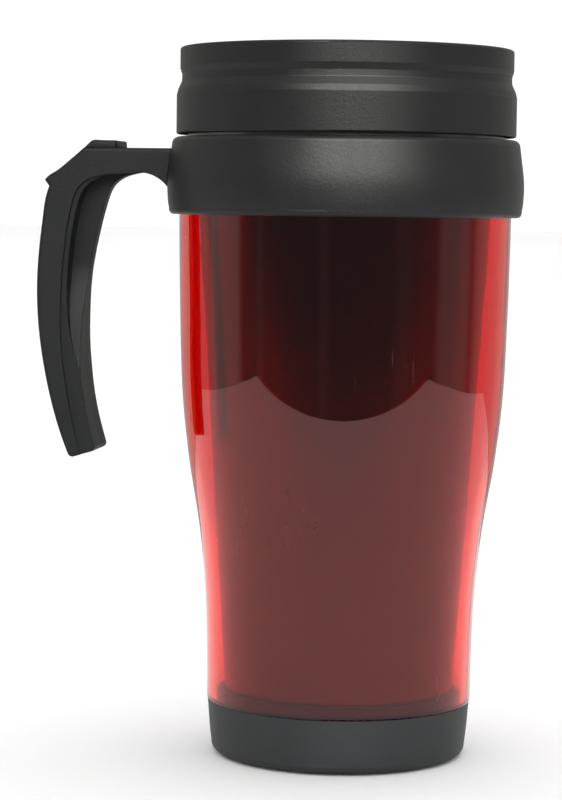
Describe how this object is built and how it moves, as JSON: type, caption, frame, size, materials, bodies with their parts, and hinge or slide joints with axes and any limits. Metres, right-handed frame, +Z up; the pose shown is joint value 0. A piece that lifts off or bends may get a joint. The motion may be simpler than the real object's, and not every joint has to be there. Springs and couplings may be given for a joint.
{
  "type": "insulated travel mug",
  "caption": "Double-wall travel mug: translucent red waisted shell over a black cup, black collar with an open C handle, lift-off lid with a sliding drinking shutter.",
  "frame": {"origin": "centre of the resting face, on the mug's own axis", "axes": "+Z up along the mug's axis, handle towards -X, drinking hole towards +Y"},
  "size_m": [0.1173, 0.0858, 0.1703],
  "materials": {
    "shell_red": "clear tinted styrene plastic, polished",
    "body_black": "satin fine-grain polypropylene",
    "lid_black": "satin fine-grain polypropylene",
    "base_black": "matt polypropylene",
    "liner_black": "smooth polypropylene",
    "seal_rubber": "black rubber",
    "pad_rubber": "foam rubber with a fine texture",
    "seal_silicone": "translucent white silicone"
  },
  "bodies": {
    "mug": {"outer_shell": "shell_red", "inner_liner": "liner_black", "upper_seal": "seal_rubber", "collar": "body_black", "handle": "body_black", "thumb_rest": "body_black", "base_cap": "base_black", "base_seal": "seal_rubber", "foot_pad": "pad_rubber"},
    "gasket": {"lid_gasket": "seal_silicone"},
    "lid": {"lid_body": "lid_black", "lid_insert": "liner_black"},
    "slide": {"slide_tab": "lid_black", "slide_keeper": "lid_black", "sip_seal": "seal_silicone"}
  },
  "joints": [
    {"name": "lid_lift", "type": "slide", "parent": "mug", "child": "gasket", "axis": [0, 0, 1], "range_m": [0, 0.04]},
    {"name": "lid_turn", "type": "hinge", "parent": "gasket", "child": "lid", "pos_m": [0, 0, 0.1575], "axis": [0, 0, 1], "continuous": true},
    {"name": "slide_open", "type": "slide", "parent": "lid", "child": "slide", "axis": [0, -1, 0], "range_m": [0, 0.012]}
  ]
}
